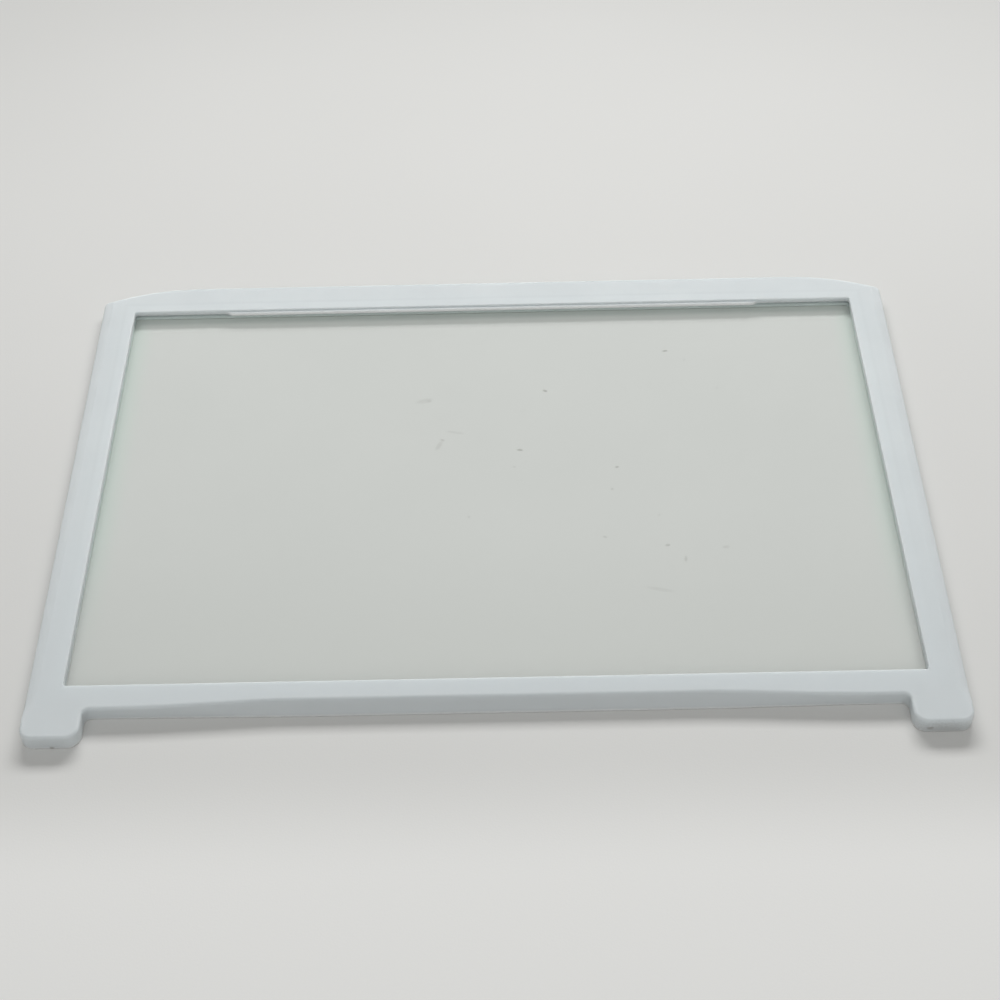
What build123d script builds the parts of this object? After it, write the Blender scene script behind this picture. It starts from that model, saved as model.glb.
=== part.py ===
"""Refrigerator shelf: a toughened glass pane captive in a one-piece moulded plastic frame.

X runs across the shelf, Y from the front rail to the rear rail and Z up.
The origin is the middle of the overall box, on the plane that the shelf rests on.
All lengths are in millimetres.
"""

import os
from math import cos, radians, sin, tan

from build123d import *

# Overall plan of the frame
opening_width = 432.0  # clear glass between the side rails
opening_depth = 286.0  # clear glass between the front and rear rails
opening_radius = 1.5  # corners of the clear opening
side_rail = 20.0  # width of each side rail at the rear
side_taper = 2.2  # how much narrower each side rail is by the tip of its lug
front_rail = 15.0  # width of the front rail beside the lugs
rear_rail = 21.5  # width of the rear rail at its middle
front_bow = 1.2  # how far the front rail swells forward at its middle
frame_height = 9.0

# Rear corners sweep forward to clear the rounded corners of the cabinet
sweep_run = 57.0  # length of the sweep along the rear edge
sweep_drop = 12.6  # how far the sweep has come forward at the side of the frame
rear_corner_radius = 4.0  # round from the sweep into the side

# Lugs that carry the side rails on past the front rail
lug_width = 29.5
lug_reach = 17.5  # beyond the front rail
lug_radius = 7.0  # free corners of a lug
lug_root_radius = 3.5  # inside corner between a lug and the front rail

# Edges
shoulder_crown = 12.5  # long radius where the top of a side rail begins to fall away
shoulder_lead = 3.0  # angle between the shoulder and the flats at both its ends
shoulder_slope = 25.0  # angle it has reached when the short radius takes over
shoulder_radius = 2.0  # short radius down into the side
shoulder_runout = 14.0  # over which a shoulder sharpens before the tip of its lug
edge_radius = 1.6  # the rest of the top edge
mouth_radius = 0.8  # top edge of the opening
foot_radius = 0.4  # lower outside edge

# Finger scoop along the front rail
scoop_depth = 3.8  # how far the top edge is cut back
scoop_margin = 16.5  # from the inside of a lug to the start of the scoop
scoop_runout = 93.0  # over which the scoop reaches its full depth

# Glass pane and the groove it sits in
glass_thickness = 4.0
glass_radius = 6.0  # corners of the pane
glass_arris = 0.5  # ground edge
glass_overlap = 6.5  # pane edge behind the edge of the opening
glass_gap = 0.15  # around the edge of the pane
lip_thickness = 3.0  # plastic above the glass
under_lip_thickness = 1.6  # plastic below the glass
under_lip_setback = 0.4  # under lip ends this far behind the upper lip

# Ledge on the rear rail that bears on the glass
ledge_margin = 54.5  # from each end of the rear wall to the ledge
ledge_taper = 22.0  # angle at which the ledge dies away into the wall at each end
ledge_reach = 1.7
ledge_height = 1.9  # above the glass
ledge_radius = 0.3  # top edge of the ledge

# Hollow underside
wall = 2.4  # outer skirt
web = 2.0  # between the channels and the edge of the pane
skin = 2.6  # top skin over the channels
front_wall = 3.4  # thicker skirt behind the finger scoop
front_skin = 3.4  # thicker skin behind the finger scoop
rib = 1.6  # thickness of the cross ribs
rib_pitch = 48.0  # wanted distance between cross ribs

# Levels and edges worked out from the sizes above
half_opening = opening_width / 2
half_width = half_opening + side_rail
overall_depth = lug_reach + front_rail + opening_depth + rear_rail
lug_front = -overall_depth / 2
rail_front = lug_front + lug_reach
opening_front = rail_front + front_rail
opening_rear = opening_front + opening_depth
rear_edge = opening_rear + rear_rail
opening_middle = (opening_front + opening_rear) / 2
lug_inside = half_width - side_taper - lug_width
scoop_start = lug_inside - scoop_margin
scoop_full = scoop_start - scoop_runout
sweep_start = half_width - sweep_run
sweep_end = rear_edge - sweep_drop
glass_top = frame_height - lip_thickness
glass_bottom = glass_top - glass_thickness
pane_width = opening_width + 2 * glass_overlap
pane_depth = opening_depth + 2 * glass_overlap
lead = radians(shoulder_lead)
slope = radians(shoulder_slope)
shoulder_run = shoulder_crown * (sin(slope) - sin(lead)) + shoulder_radius * (cos(lead) - sin(slope))
shoulder_drop = shoulder_crown * (cos(lead) - cos(slope)) + shoulder_radius * (cos(slope) - sin(lead))
ledge_length = opening_width - 2 * ledge_margin
ledge_end = ledge_reach / tan(radians(ledge_taper))
front_channel = front_rail - front_wall - glass_overlap - web
front_pockets = round(2 * lug_inside / rib_pitch)
front_pitch = (2 * lug_inside - rib) / front_pockets

# Toughened glass pane with ground edges
with BuildPart() as glass_pane:
    with BuildSketch(Plane.XY.offset(glass_bottom)):
        with Locations((0, opening_middle)):
            RectangleRounded(pane_width, pane_depth, glass_radius)
    extrude(amount=glass_thickness)
    chamfer(glass_pane.faces().filter_by(Axis.Z).edges(), glass_arris)

# Plan outline of the side rails, rear rail and lugs, open where the front rail goes
with BuildSketch() as outline:
    with BuildLine():
        Polyline(
            (0, opening_front - 1),
            (lug_inside, opening_front - 1),
            (lug_inside, lug_front),
            (half_width - side_taper, lug_front),
            (half_width, sweep_end),
        )
        TangentArc((sweep_start, rear_edge), (half_width, sweep_end), tangent=(1, 0))
        Line((sweep_start, rear_edge), (0, rear_edge))
        mirror(about=Plane.YZ)
    make_face()
    fillet(outline.vertices().group_by(Axis.Y)[0], lug_radius)
    tips = outline.vertices().filter_by_position(Axis.Y, sweep_end - 0.1, sweep_end + 0.1)
    fillet(tips, rear_corner_radius)

# Channels under the side rails, the rear rail and the lugs, parted by cross ribs
with BuildSketch() as channels:
    add(outline)
    offset(amount=-wall, mode=Mode.REPLACE)
    with Locations((0, opening_middle)):
        Rectangle(pane_width + 2 * web, pane_depth + 2 * web, mode=Mode.SUBTRACT)
    with Locations((0, opening_front)):
        Rectangle(2 * (lug_inside + wall), 2 * front_rail, mode=Mode.SUBTRACT)
    side_ribs = round(opening_depth / rib_pitch) + 1
    with Locations((0, opening_middle)):
        with GridLocations(2 * half_width, opening_depth / (side_ribs - 1), 2, side_ribs):
            Rectangle(2 * side_rail, rib, mode=Mode.SUBTRACT)
    rear_ribs = round(opening_width / rib_pitch) + 1
    with Locations((0, rear_edge)):
        with GridLocations(opening_width / (rear_ribs - 1), 1, rear_ribs, 1):
            Rectangle(rib, 2 * rear_rail, mode=Mode.SUBTRACT)
    with Locations((0, rail_front)):
        with GridLocations(2 * lug_inside + lug_width, 1, 2, 1):
            Rectangle(rib, 2 * lug_reach, mode=Mode.SUBTRACT)

# What the rounded shoulders take off: full along the side rails, dying away before the lug tips
with BuildPart() as shoulders:
    for place, share in (
        (rear_edge, 1),
        (lug_front + lug_radius + shoulder_runout, 1),
        (lug_front + lug_radius, edge_radius / shoulder_run / 2),
    ):
        side = half_width - side_taper * (sweep_end - place) / (sweep_end - lug_front)
        start = (side - share * shoulder_run, frame_height)
        with BuildSketch(Plane.XZ.offset(-place)):
            with BuildLine():
                heading = (cos(lead), -sin(lead))
                crown = JernArc(start, heading, share * shoulder_crown, shoulder_lead - shoulder_slope)
                turn = shoulder_slope + shoulder_lead - 90
                JernArc(crown @ 1, crown % 1, share * shoulder_radius, turn)
                Polyline(
                    (side, frame_height - share * shoulder_drop),
                    (side + wall, frame_height - share * shoulder_drop),
                    (side + wall, frame_height + wall),
                    (side - share * shoulder_run, frame_height + wall),
                    start,
                )
            make_face()
    loft(ruled=True)
    mirror(about=Plane.YZ)

# One-piece moulded frame
with BuildPart() as shelf_frame:
    add(outline)
    extrude(amount=frame_height)

    # Front rail: its foot swells forward and its top edge is cut back in a long finger scoop
    for level, middle in ((0, rail_front - front_bow), (frame_height, rail_front + scoop_depth)):
        with BuildSketch(Plane.XY.offset(level)):
            with BuildLine():
                Line((0, middle), (scoop_full, middle))
                Spline((scoop_full, middle), (scoop_start, rail_front), tangents=((1, 0), (1, 0)))
                Polyline(
                    (scoop_start, rail_front),
                    (lug_inside + wall, rail_front),
                    (lug_inside + wall, opening_front),
                    (0, opening_front),
                )
                mirror(about=Plane.YZ)
            make_face()
    loft(ruled=True)
    uprights = shelf_frame.edges().filter_by(Axis.Z)
    fillet(uprights.filter_by_position(Axis.Y, rail_front - 0.1, rail_front + 0.1), lug_root_radius)

    # Broken edges top and bottom, then the rounded shoulders
    fillet(shelf_frame.faces().sort_by(Axis.Z)[-1].edges(), edge_radius)
    fillet(shelf_frame.faces().sort_by(Axis.Z)[0].edges(), foot_radius)
    add(shoulders.part, mode=Mode.SUBTRACT)

    # Opening over the glass, with its top edge broken
    with BuildSketch(Plane.XY.offset(glass_top)):
        with Locations((0, opening_middle)):
            RectangleRounded(opening_width, opening_depth, opening_radius)
    extrude(amount=lip_thickness, mode=Mode.SUBTRACT)
    mouth = shelf_frame.faces().sort_by(Axis.Z)[-1].inner_wires()[0]
    fillet(mouth.edges(), mouth_radius)

    # Groove for the pane, and the wider opening between the under lips
    with BuildSketch(Plane.XY.offset(glass_bottom)):
        with Locations((0, opening_middle)):
            RectangleRounded(
                pane_width + 2 * glass_gap,
                pane_depth + 2 * glass_gap,
                glass_radius + glass_gap,
            )
    extrude(amount=glass_thickness, mode=Mode.SUBTRACT)
    with BuildSketch():
        with Locations((0, opening_middle)):
            RectangleRounded(
                opening_width + 2 * under_lip_setback,
                opening_depth + 2 * under_lip_setback,
                opening_radius + under_lip_setback,
            )
    extrude(amount=glass_bottom, mode=Mode.SUBTRACT)
    with BuildSketch():
        with Locations((0, opening_middle)):
            RectangleRounded(pane_width, pane_depth, glass_radius)
    extrude(amount=glass_bottom - under_lip_thickness, mode=Mode.SUBTRACT)

    # Hollow underside
    add(channels)
    extrude(amount=frame_height - skin, mode=Mode.SUBTRACT)
    with BuildSketch():
        with Locations((0, opening_front - glass_overlap - web)):
            with GridLocations(front_pitch, 1, front_pockets, 1):
                Rectangle(front_pitch - rib, front_channel, align=(Align.CENTER, Align.MAX))
    extrude(amount=frame_height - front_skin, mode=Mode.SUBTRACT)

    # Ledge that stands out from the rear rail and bears on the glass
    with BuildSketch(Plane.XY.offset(glass_top)):
        with Locations((0, opening_rear)):
            Trapezoid(ledge_length + 2 * ledge_end, 2 * ledge_reach, ledge_taper, rotation=180)
    extrude(amount=ledge_height)
    ledge_top = glass_top + ledge_height
    ledge_edges = shelf_frame.edges().filter_by_position(Axis.Z, ledge_top - 0.01, ledge_top + 0.01)
    fillet(ledge_edges.filter_by(Axis.X).sort_by(Axis.Y)[0], ledge_radius)

# Files handed on
os.makedirs("parts", exist_ok=True)
glass_pane.part.label = "glass_pane"
export_step(glass_pane.part, "parts/glass_pane.step")
shelf_frame.part.label = "shelf_frame"
export_step(shelf_frame.part, "parts/shelf_frame.step")
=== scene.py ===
# %% [markdown]
# # A refrigerator shelf
# The shelf is a clear glass pane held in a white moulded frame. Both solids come ready made from
# the drawing, so the work here is on their finishes: satin plastic with a fine grain, and glass
# with the faint green that a toughened pane has. The camera, the table top and the light come first.

from math import pi

import bpy
from mathutils import Matrix, Vector


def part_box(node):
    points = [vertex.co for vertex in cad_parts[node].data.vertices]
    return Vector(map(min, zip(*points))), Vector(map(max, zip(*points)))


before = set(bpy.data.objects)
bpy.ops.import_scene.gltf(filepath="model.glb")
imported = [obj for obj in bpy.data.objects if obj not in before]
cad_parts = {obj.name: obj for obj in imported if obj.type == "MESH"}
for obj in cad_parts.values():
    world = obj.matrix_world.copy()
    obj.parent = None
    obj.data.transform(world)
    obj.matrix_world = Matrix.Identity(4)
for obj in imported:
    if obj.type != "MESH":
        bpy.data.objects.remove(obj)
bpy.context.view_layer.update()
shelf_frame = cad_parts["shelf_frame"]
glass_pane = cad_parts["glass_pane"]
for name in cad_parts:
    low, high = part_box(name)
    print(name, "measures", [round((b - a) * 1000, 1) for a, b in zip(low, high)], "mm")

# %% [markdown]
# ## The camera
# The picture was taken from in front of the shelf and well above it. A camera could be aimed with a
# Track To constraint, but the frame's edges fix its place and its turn exactly, roll included, so
# both are given as numbers. The turn is built in the order in which a photographer makes it: swing,
# tilt, then roll.

# %% Camera
camera_place = (0.01085, -0.7167, 0.7393)
swing = 0.0105
tilt = 0.8056
roll = -0.0278
camera_data = bpy.data.cameras.new("shelf_camera")
camera_data.sensor_width = 36.0
camera_data.lens = 67.0
camera_data.clip_start = 0.01
camera = bpy.data.objects.new("shelf_camera", camera_data)
bpy.context.scene.collection.objects.link(camera)
turn = Matrix.Rotation(swing, 4, "Z") @ Matrix.Rotation(pi / 2 - tilt, 4, "X")
turn = turn @ Matrix.Rotation(roll, 4, "Z")
camera.matrix_world = Matrix.Translation(camera_place) @ turn
bpy.context.scene.camera = camera
print("camera", [round(v, 3) for v in camera_place], "lens", camera_data.lens, "mm")

# %% [markdown]
# ## Helpers for nodes
# Every finish below is a chain of the same few nodes: a ramp that turns a distance into a share, a
# sum, and a mix of two colours. Placing each by hand takes six lines, so each gets a helper that
# makes the node, joins it to what feeds it and gives back its result. Lengths are in metres.


# %% Ramp and sums
def ramp(tree, value, start, end, low=0.0, high=1.0, smooth=True):
    """Low at start, high at end, and level outside them."""
    node = tree.nodes.new("ShaderNodeMapRange")
    node.interpolation_type = "SMOOTHSTEP" if smooth else "LINEAR"
    settings = {"From Min": start, "From Max": end, "To Min": low, "To Max": high}
    for name, number in settings.items():
        node.inputs[name].default_value = number
    tree.links.new(value, node.inputs["Value"])
    return node.outputs["Result"]


def calc(tree, operation, first, second=0.0):
    """One sum of two values, of which the second may be a plain number."""
    node = tree.nodes.new("ShaderNodeMath")
    node.operation = operation
    tree.links.new(first, node.inputs[0])
    if isinstance(second, float):
        node.inputs[1].default_value = second
    else:
        tree.links.new(second, node.inputs[1])
    return node.outputs[0]


def vector_calc(tree, operation, first, second=(0.0, 0.0, 0.0)):
    """One sum of a vector and a fixed one."""
    node = tree.nodes.new("ShaderNodeVectorMath")
    node.operation = operation
    tree.links.new(first, node.inputs[0])
    node.inputs[1].default_value = second
    return node.outputs["Value" if operation == "LENGTH" else "Vector"]


print("helpers", ramp.__name__, calc.__name__, vector_calc.__name__)


# %% [markdown]
# The next helpers mix a colour into another one by a share, part a place into its three axes, start
# a finish, and lay an egg-shaped mark. The mark is measured in its own half sizes, so its result is
# nought in its middle and one at its skin, whatever its size and turn.


# %% Tints, axes and marks
def tint(tree, share, base, colour):
    """The base colour with a share of another in it."""
    node = tree.nodes.new("ShaderNodeMix")
    node.data_type = "RGBA"
    tree.links.new(share, node.inputs[0])
    if isinstance(base, tuple):
        node.inputs[6].default_value = (*base, 1.0)
    else:
        tree.links.new(base, node.inputs[6])
    node.inputs[7].default_value = (*colour, 1.0)
    return node.outputs[2]


def axes_of(tree, vector):
    """The X, Y and Z of a place."""
    node = tree.nodes.new("ShaderNodeSeparateXYZ")
    tree.links.new(vector, node.inputs[0])
    return node.outputs


def mark(tree, vector, middle, halves, heading=0.0):
    """How far a place is from the middle of an egg, in its half sizes. Millimetres go in."""
    node = tree.nodes.new("ShaderNodeMapping")
    node.vector_type = "TEXTURE"
    node.inputs["Location"].default_value = [v / 1000 for v in middle]
    node.inputs["Scale"].default_value = [v / 1000 for v in halves]
    node.inputs["Rotation"].default_value = (0.0, 0.0, heading)
    tree.links.new(vector, node.inputs["Vector"])
    return vector_calc(tree, "LENGTH", node.outputs["Vector"])


def start_finish(name):
    """A new material, its nodes, its shader and the place of each point on the piece."""
    material = bpy.data.materials.new(name)
    material.use_nodes = True
    tree = material.node_tree
    place = tree.nodes.new("ShaderNodeTexCoord").outputs["Object"]
    return material, tree, tree.nodes["Principled BSDF"], place


print("helpers", tint.__name__, axes_of.__name__, mark.__name__, start_finish.__name__)


# %% [markdown]
# ## Shared effects
# Three effects are needed by more than one finish, or are long enough to be worth a name, so each
# becomes a node group. One helper starts a group with its named sockets, and another places it in a
# finish.


# %% Groups
def start_group(name, inputs, output, output_kind):
    """An empty group that takes a place and some numbers, and puts out one result."""
    group = bpy.data.node_groups.new(name, "ShaderNodeTree")
    group.interface.new_socket("Vector", in_out="INPUT", socket_type="NodeSocketVector")
    for socket in inputs:
        group.interface.new_socket(socket, in_out="INPUT", socket_type="NodeSocketFloat")
    group.interface.new_socket(output, in_out="OUTPUT", socket_type=output_kind)
    taken = group.nodes.new("NodeGroupInput").outputs
    given = group.nodes.new("NodeGroupOutput").inputs[output]
    return group, taken, given


def use_group(tree, group, vector, **settings):
    """The result of a group at a place, with its own settings."""
    node = tree.nodes.new("ShaderNodeGroup")
    node.node_tree = group
    tree.links.new(vector, node.inputs["Vector"])
    for name, number in settings.items():
        node.inputs[name].default_value = number
    return node.outputs[0]


print("helpers", start_group.__name__, use_group.__name__)

# %% [markdown]
# The first gives a slow drift between nought and one, which stands for the small unevenness of any
# real surface. A plain noise would do inside each material, but the group keeps the detail the same
# everywhere.

# %% Drift group
drift, taken, given = start_group("drift", ["Scale"], "Value", "NodeSocketFloat")
noise = drift.nodes.new("ShaderNodeTexNoise")
noise.inputs["Detail"].default_value = 3.0
drift.links.new(taken["Vector"], noise.inputs["Vector"])
drift.links.new(taken["Scale"], noise.inputs["Scale"])
drift.links.new(ramp(drift, noise.outputs["Fac"], 0.3, 0.7, smooth=False), given)
print("drift group", len(drift.nodes), "nodes")

# %% [markdown]
# The second is the grain that a mould or a roller leaves on a surface, as a normal. The height is
# given in metres, so the same group serves for plastic and table alike.

# %% Grain group
grain, taken, given = start_group("grain", ["Scale", "Depth"], "Normal", "NodeSocketVector")
noise = grain.nodes.new("ShaderNodeTexNoise")
noise.inputs["Detail"].default_value = 4.0
bump = grain.nodes.new("ShaderNodeBump")
grain.links.new(taken["Vector"], noise.inputs["Vector"])
grain.links.new(taken["Scale"], noise.inputs["Scale"])
grain.links.new(taken["Depth"], bump.inputs["Distance"])
grain.links.new(noise.outputs["Fac"], bump.inputs["Height"])
grain.links.new(bump.outputs["Normal"], given)
print("grain group", len(grain.nodes), "nodes")

# %% [markdown]
# The third measures how far a point lies outside the clear opening, and below nought inside it. The
# opening is a rectangle, so the larger of the two overhangs is the distance.

# %% Opening group
opening_middle = (0.0, 0.0055, 0.0)
opening_halves = (0.216, 0.143, 0.0)
opening, taken, given = start_group("opening_distance", [], "Distance", "NodeSocketFloat")
folded = vector_calc(opening, "SUBTRACT", taken["Vector"], opening_middle)
folded = vector_calc(opening, "ABSOLUTE", folded)
overhang = axes_of(opening, vector_calc(opening, "SUBTRACT", folded, opening_halves))
opening.links.new(calc(opening, "MAXIMUM", overhang["X"], overhang["Y"]), given)
print("opening group", len(opening.nodes), "nodes")

# %% [markdown]
# ## The table top
# The shelf lies on a smooth pale table that fills the picture. One large plane is enough, a tenth of
# a millimetre below the shelf.

# %% Table top
table_size = 12.0
table_level = -0.0001
bpy.ops.object.select_all(action="DESELECT")
bpy.ops.mesh.primitive_plane_add(size=table_size, location=(0.0, 0.0, table_level))
table_top = bpy.context.object
table_top.name = "table_top"
bpy.ops.object.transform_apply(location=True, rotation=True, scale=True)
print("table top", [round(v, 1) for v in table_top.dimensions])

# %% [markdown]
# Its tone wanders very slightly and grows paler towards the camera. A real pane bends the light that
# comes through it, which shortens the shadow of the rear rail. The glass below lets lamps straight
# through, so a narrow strip of table under that edge is paler to make up for it.

# %% Table tone
table_tones = (0.700, 0.700, 0.685), (0.718, 0.718, 0.703)
nearby_tone = (0.865, 0.865, 0.850)
strip_tone = (0.950, 0.950, 0.930)
table_finish, tree, table_shader, place = start_finish("table_finish")
table_shader.inputs["Specular IOR Level"].default_value = 0.2
span = axes_of(tree, place)
wander = use_group(tree, drift, place, Scale=3.0)
tone = tint(tree, wander, *table_tones)
nearby = ramp(tree, span["Y"], -0.175, -0.25)
tone = tint(tree, nearby, tone, nearby_tone)

strip_rear = ramp(tree, span["Y"], 0.1471, 0.1424)
strip_front = ramp(tree, span["Y"], 0.1366, 0.1400)
strip_sides = ramp(tree, calc(tree, "ABSOLUTE", span["X"]), 0.2165, 0.2115)
strip = calc(tree, "MULTIPLY", calc(tree, "MULTIPLY", strip_rear, strip_front), strip_sides)
tone = tint(tree, strip, tone, strip_tone)

sheen = ramp(tree, wander, 0.0, 1.0, 0.55, 0.68, smooth=False)
tooth = use_group(tree, grain, place, Scale=900.0, Depth=0.00004)
tree.links.new(tone, table_shader.inputs["Base Color"])
tree.links.new(sheen, table_shader.inputs["Roughness"])
tree.links.new(tooth, table_shader.inputs["Normal"])
table_top.data.materials.append(table_finish)
print("table finish", len(tree.nodes), "nodes")

# %% [markdown]
# Far from the shelf the lamps no longer reach the table, and from other sides that would show as a
# dark background. More lamps would change the light on the shelf, so beyond half a metre the table
# turns into a plain pale backdrop, for the rays that look at it and for no others.

# %% Pale distance
pale_from, pale_to = 0.55, 1.0
backdrop_tone = (0.693, 0.693, 0.678, 1.0)
rays = tree.nodes.new("ShaderNodeLightPath").outputs
looking = calc(tree, "MAXIMUM", rays["Is Camera Ray"], rays["Is Glossy Ray"])
looking = calc(tree, "MAXIMUM", looking, rays["Is Transmission Ray"])
distance = ramp(tree, vector_calc(tree, "LENGTH", place), pale_from, pale_to)
backdrop = tree.nodes.new("ShaderNodeEmission")
backdrop.inputs["Color"].default_value = backdrop_tone
distant = tree.nodes.new("ShaderNodeMixShader")
tree.links.new(calc(tree, "MULTIPLY", distance, looking), distant.inputs[0])
tree.links.new(table_shader.outputs[0], distant.inputs[1])
tree.links.new(backdrop.outputs[0], distant.inputs[2])
tree.links.new(distant.outputs[0], tree.nodes["Material Output"].inputs["Surface"])
print("pale from", pale_from, "m")

# %% [markdown]
# ## The light
# The shadows lie in front of each rail, so the main light is a window behind the shelf. It is long
# from side to side and lower from top to bottom, which keeps the shadows of the front and rear rails
# short and those of the side rails soft. A broad fill from the camera's side lightens every shadow
# evenly, and its own shadows fall where the rails hide them. The fill could be a second area lamp,
# but a wide sun lights the table alike near and far. Both are kept out of mirror reflections,
# because the pane would show them as bright patches.

# %% Light
window_data = bpy.data.lights.new("window", "AREA")
window_data.shape = "RECTANGLE"
window_data.size = 1.2
window_data.size_y = 0.60
window_data.energy = 27.4
window = bpy.data.objects.new("window", window_data)
window.location = (0.09, 1.05, 0.90)
window_facing = Vector((0.0, -0.966, 0.259))
window.rotation_euler = window_facing.to_track_quat("-Z", "Y").to_euler()

fill_data = bpy.data.lights.new("room_fill", "SUN")
fill_data.angle = 1.1
fill_data.energy = 0.715
room_fill = bpy.data.objects.new("room_fill", fill_data)
room_fill.location = (0.03, -1.55, 1.75)
room_fill.rotation_euler = (-room_fill.location).to_track_quat("-Z", "Y").to_euler()

for lamp in (window, room_fill):
    bpy.context.scene.collection.objects.link(lamp)
    lamp.visible_glossy = False
    lamp.visible_transmission = False
print("window", window_data.energy, "W, fill", fill_data.energy, "W per square metre")

# %% [markdown]
# The room itself gives a low, even light. A reflection in the pane, and a ray that misses the table,
# see its walls a good deal paler than that, as white walls are, without any more light on the shelf.

# %% Room
room_light, mirrored_walls, seen_walls = 0.275, 0.5, 0.693
world = bpy.data.worlds.new("room")
world.use_nodes = True
tree = world.node_tree
walls = tree.nodes["Background"]
walls.inputs["Color"].default_value = (1.0, 1.0, 0.98, 1.0)
rays = tree.nodes.new("ShaderNodeLightPath").outputs
mirrored = calc(tree, "MAXIMUM", rays["Is Glossy Ray"], rays["Is Transmission Ray"])
level = ramp(tree, mirrored, 0.0, 1.0, room_light, mirrored_walls, smooth=False)
extra = calc(tree, "MULTIPLY", rays["Is Camera Ray"], seen_walls - room_light)
tree.links.new(calc(tree, "ADD", level, extra), walls.inputs["Strength"])
bpy.context.scene.world = world
print("room", room_light, "mirrored", mirrored_walls, "seen", seen_walls)

# %% [markdown]
# ## White plastic
# The frame is moulded in white plastic, very slightly blue, with a satin surface. Light goes a
# little way into such plastic, so the thin lips glow where a painted frame would be dark. The
# colour drifts by a per cent or two, as it does where the melt cooled unevenly, and it is a shade
# greyer towards the front.

# %% White plastic
plastic_tones = (0.685, 0.728, 0.742), (0.710, 0.753, 0.765)
front_grey_tone = (0.662, 0.703, 0.718)
white_plastic, tree, plastic_shader, place = start_finish("white_plastic")
plastic_shader.inputs["Subsurface Weight"].default_value = 0.8
plastic_shader.inputs["Subsurface Radius"].default_value = (1.0, 1.0, 1.0)
plastic_shader.inputs["Subsurface Scale"].default_value = 0.004
span = axes_of(tree, place)
wander = use_group(tree, drift, place, Scale=30.0)
coat = tint(tree, wander, *plastic_tones)
towards_front = ramp(tree, span["Y"], 0.05, -0.17)
coat = tint(tree, towards_front, coat, front_grey_tone)
sheen = ramp(tree, wander, 0.0, 1.0, 0.36, 0.48, smooth=False)
tree.links.new(sheen, plastic_shader.inputs["Roughness"])
print("white plastic", len(tree.nodes), "nodes so far")

# %% [markdown]
# The top of the frame has a faint sink line a little over six millimetres outside the opening,
# where the thick wall of the groove meets the thin skin. It is drawn as a narrow dip along that
# distance, on the top face only, and the dip is darkened with painted shade. It fades towards the
# front.

# %% Sink line
sink_line = 0.0064
sink_half = 0.0020
top_level = 0.0088
sink_shade_share = 0.04
sink_shade_tone = (0.30, 0.31, 0.32)
reach = use_group(tree, opening, place)
off_line = calc(tree, "ABSOLUTE", calc(tree, "SUBTRACT", reach, sink_line))
line = ramp(tree, off_line, 0.0, sink_half, 1.0, 0.0)
fading = ramp(tree, span["Y"], -0.13, 0.02, smooth=False)
top_share = calc(tree, "MULTIPLY", calc(tree, "GREATER_THAN", span["Z"], top_level), fading)
sink = calc(tree, "MULTIPLY", line, top_share)
# Painted shade: the dip of the sink line is darkened.
coat = tint(tree, calc(tree, "MULTIPLY", sink, sink_shade_share), coat, sink_shade_tone)
print("sink line", sink_line * 1000, "mm outside the opening")

# %% [markdown]
# The inner edge of the opening, more so at the front, and the rear edge of the frame are darkened
# with painted shade, so both are a little duller than the flats. Each edge is a short ramp on a
# distance, and the larger of the two is used. The lowest millimetre of the foot is lightened with
# painted light instead, and so is the face of the low ledge at the rear, the only part of the
# frame that reaches over the opening.

# %% Painted edge shade and light
pane_top = 0.0060
ledge_top = 0.0079
painted_shade_tone = (0.560, 0.600, 0.612)
painted_light_tone = (0.935, 0.955, 0.960)
inner_edge = ramp(tree, reach, 0.0020, 0.0002, 0.0, 0.35)
inner_edge = calc(tree, "MULTIPLY", inner_edge, towards_front)
rear_edge = ramp(tree, span["Y"], 0.1670, 0.1694, 0.0, 0.6)
edge_shade = calc(tree, "MAXIMUM", inner_edge, rear_edge)
# Painted shade on the inner edge of the opening and on the rear edge.
coat = tint(tree, edge_shade, coat, painted_shade_tone)
foot = ramp(tree, span["Z"], 0.0018, 0.0004, 0.0, 0.75)
ledge_face = calc(tree, "GREATER_THAN", span["Z"], pane_top)
ledge_face = calc(tree, "MULTIPLY", ledge_face, ramp(tree, span["Z"], ledge_top, 0.0074))
ledge = calc(tree, "MULTIPLY", ramp(tree, reach, -0.0006, -0.0014, 0.0, 0.8), ledge_face)
# Painted light on the lowest millimetre of the foot and on the ledge face.
coat = tint(tree, calc(tree, "MAXIMUM", foot, ledge), coat, painted_light_tone)
print("edge light and shade", len(tree.nodes), "nodes so far")

# %% [markdown]
# The shelf was stood on its lugs at some time, so each foot has a small dark scuff, and the right
# lug is darker all over its front. Each mark is given by its place, its three half sizes and its
# strength. Noise disturbs its edge.

# %% Scuffs and a darker lug
scuff_tone = (0.16, 0.13, 0.10)
scuffs = [
    ((-218.0, -169.8, 0.8), (1.9, 1.7, 1.3), 0.55),
    ((212.0, -169.8, 3.2), (2.4, 1.7, 1.3), 0.45),
    # The right lug's front, darker all over.
    ((219.0, -170.0, 1.0), (22.0, 9.0, 7.5), 0.28),
]
ragged = calc(tree, "MULTIPLY", use_group(tree, drift, place, Scale=900.0), 0.35)
for middle, halves, strength in scuffs:
    size = calc(tree, "ADD", mark(tree, place, middle, halves), ragged)
    scuff = ramp(tree, size, 0.45, 1.2, strength, 0.0, smooth=False)
    coat = tint(tree, scuff, coat, scuff_tone)
tree.links.new(coat, plastic_shader.inputs["Base Color"])
print("scuffs", len(scuffs))

# %% [markdown]
# The skin of the moulding has a fine, shallow grain, and the sink line dips into it. Both are bump,
# because neither is deep enough to change the outline.

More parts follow.
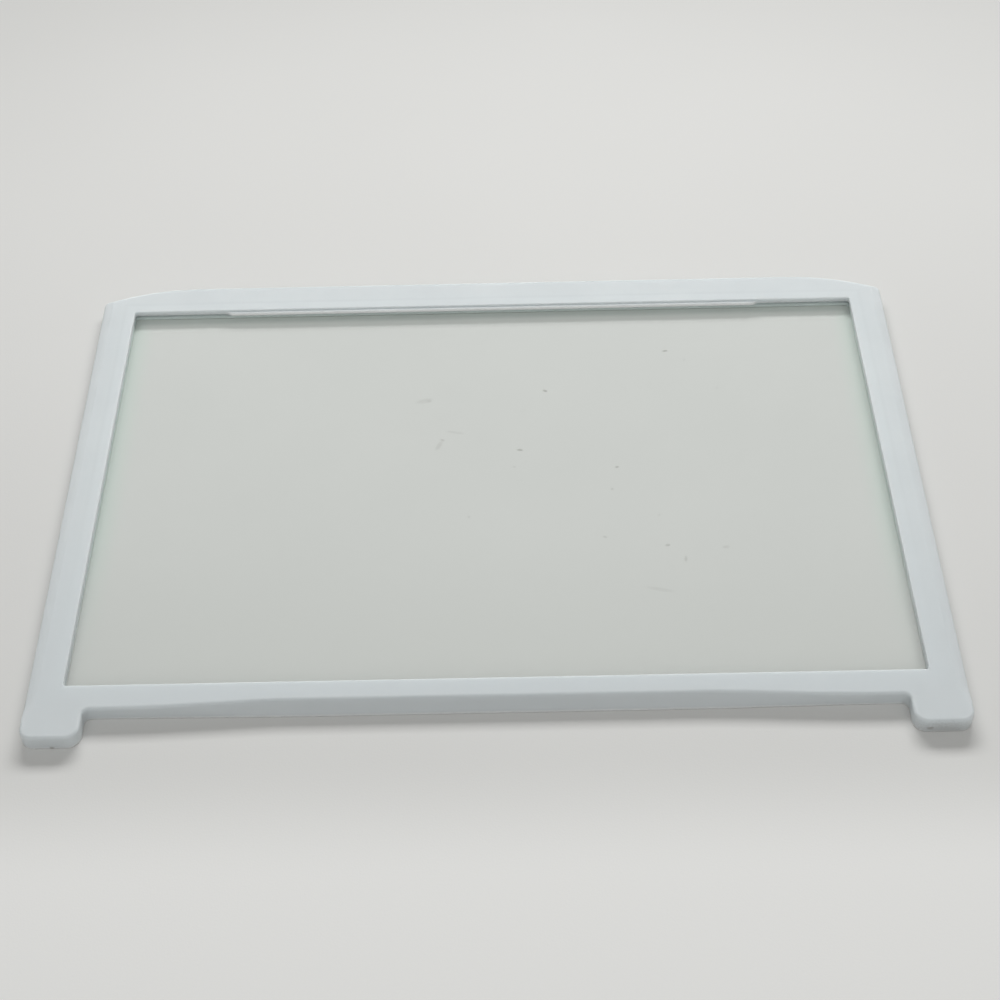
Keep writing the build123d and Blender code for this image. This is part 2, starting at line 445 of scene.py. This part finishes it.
# %% Moulded skin
dip_depth = 0.00003
skin = use_group(tree, grain, place, Scale=1500.0, Depth=0.00002)
dip = tree.nodes.new("ShaderNodeBump")
dip.invert = True
dip.inputs["Distance"].default_value = dip_depth
tree.links.new(sink, dip.inputs["Height"])
tree.links.new(skin, dip.inputs["Normal"])
tree.links.new(dip.outputs["Normal"], plastic_shader.inputs["Normal"])
for mesh_slot in shelf_frame.material_slots:
    mesh_slot.material = white_plastic
print("white plastic", len(tree.nodes), "nodes")

# %% [markdown]
# ## Clear glass
# The pane is plain clear glass with a trace of green. Light from the lamp and from the table has to
# reach what lies under the pane, so those rays meet a plain clear film instead of the solid glass.
# Tracing them through the solid would be closer to nature, but it leaves the table under the pane
# far too dark and grainy.

# %% Clear glass
clear_glass, tree, glass_shader, place = start_finish("clear_glass")
glass_shader.inputs["Transmission Weight"].default_value = 1.0
glass_shader.inputs["IOR"].default_value = 1.5
film = tree.nodes.new("ShaderNodeBsdfTransparent")
film.inputs["Color"].default_value = (0.978, 0.984, 0.980, 1.0)
rays = tree.nodes.new("ShaderNodeLightPath").outputs
lit = calc(tree, "MAXIMUM", rays["Is Shadow Ray"], rays["Is Diffuse Ray"])
choice = tree.nodes.new("ShaderNodeMixShader")
tree.links.new(lit, choice.inputs[0])
tree.links.new(glass_shader.outputs[0], choice.inputs[1])
tree.links.new(film.outputs[0], choice.inputs[2])
tree.links.new(choice.outputs[0], tree.nodes["Material Output"].inputs["Surface"])
print("glass index", glass_shader.inputs["IOR"].default_value)

# %% [markdown]
# Used glass carries a haze from wiping, which shows as slow changes of tone and polish. It looks
# greener beside the frame, where the light has come through more of it, and a little duller at the
# front, where the green gives way.

# %% Haze
haze_tones = (0.955, 0.975, 0.967), (0.967, 0.985, 0.977)
border_tone = (0.880, 1.000, 0.945)
front_tone = (0.915, 0.935, 0.923)
wander = use_group(tree, drift, place, Scale=14.0)
polish = ramp(tree, wander, 0.0, 1.0, 0.0, 0.012, smooth=False)
tree.links.new(polish, glass_shader.inputs["Roughness"])
haze = tint(tree, wander, *haze_tones)
frontward = ramp(tree, axes_of(tree, place)["Y"], -0.02, -0.15)
border = ramp(tree, use_group(tree, opening, place), -0.016, 0.004)
ease = ramp(tree, frontward, 0.0, 1.0, 1.0, 0.3, smooth=False)
haze = tint(tree, calc(tree, "MULTIPLY", border, ease), haze, border_tone)
haze = tint(tree, frontward, haze, front_tone)
print("haze", len(tree.nodes), "nodes so far")

# %% [markdown]
# A few crumbs and smears lie on the upper face. Each is given by its place, half its length and half
# its width in millimetres, its turn, and how strongly it hides the glass. Where marks overlap, the
# stronger one counts.

# %% Crumbs
upper_face = pane_top * 1000
crumb_depth = 1.0
crumb_tone = (0.16, 0.13, 0.09)
crumbs = [
    (102.0, 106.8, 2.1, 1.1, 0.1, 0.48),
    (112.6, 98.5, 1.2, 1.0, 0.0, 0.18),
    (30.3, 74.3, 2.0, 1.1, -0.5, 0.50),
    (18.5, 58.6, 1.1, 1.0, 0.0, 0.18),
    (76.6, 74.6, 1.3, 1.1, 0.0, 0.12),
    (129.7, 73.8, 1.3, 1.0, 0.3, 0.18),
    (15.0, 26.1, 2.3, 1.1, -0.1, 0.52),
    (11.5, 12.8, 1.2, 1.0, 0.0, 0.18),
    (68.6, 11.1, 1.6, 1.1, 0.3, 0.38),
    (65.0, -5.8, 1.2, 1.0, 0.0, 0.24),
    (-13.5, -24.7, 1.2, 1.0, 0.0, 0.22),
    (89.4, -26.1, 1.2, 1.0, 0.0, 0.16),
    (92.6, -48.2, 1.7, 1.3, 0.2, 0.34),
    (59.4, -41.4, 1.9, 1.2, -0.3, 0.18),
    (101.4, -58.4, 2.8, 1.2, 1.5, 0.22),
    (123.3, -50.4, 2.6, 1.5, 0.1, 0.15),
    (86.2, -79.3, 9.5, 1.6, -0.24, 0.12),
    (-39.3, 67.8, 6.0, 2.6, 0.25, 0.16),
    (-37.0, 67.6, 2.4, 1.7, 0.2, 0.24),
    (-30.4, 30.9, 5.4, 1.8, 1.13, 0.18),
    (-28.5, 35.2, 1.8, 1.2, -0.5, 0.26),
    (-21.2, 41.2, 7.0, 1.5, -0.24, 0.12),
]
spots = []
for across, along, length, width, heading, strength in crumbs:
    size = mark(tree, place, (across, along, upper_face), (length, width, crumb_depth), heading)
    spots.append(ramp(tree, size, 0.4, 1.0, strength, 0.0, smooth=False))
dirt = spots[0]
for spot in spots[1:]:
    dirt = calc(tree, "MAXIMUM", dirt, spot)
haze = tint(tree, dirt, haze, crumb_tone)
tree.links.new(haze, glass_shader.inputs["Base Color"])
for mesh_slot in glass_pane.material_slots:
    mesh_slot.material = clear_glass
print("clear glass", len(crumbs), "crumbs")

# %% [markdown]
# ## The view
# The view is set to plain colours.

# %% View
bpy.context.scene.view_settings.view_transform = "Standard"
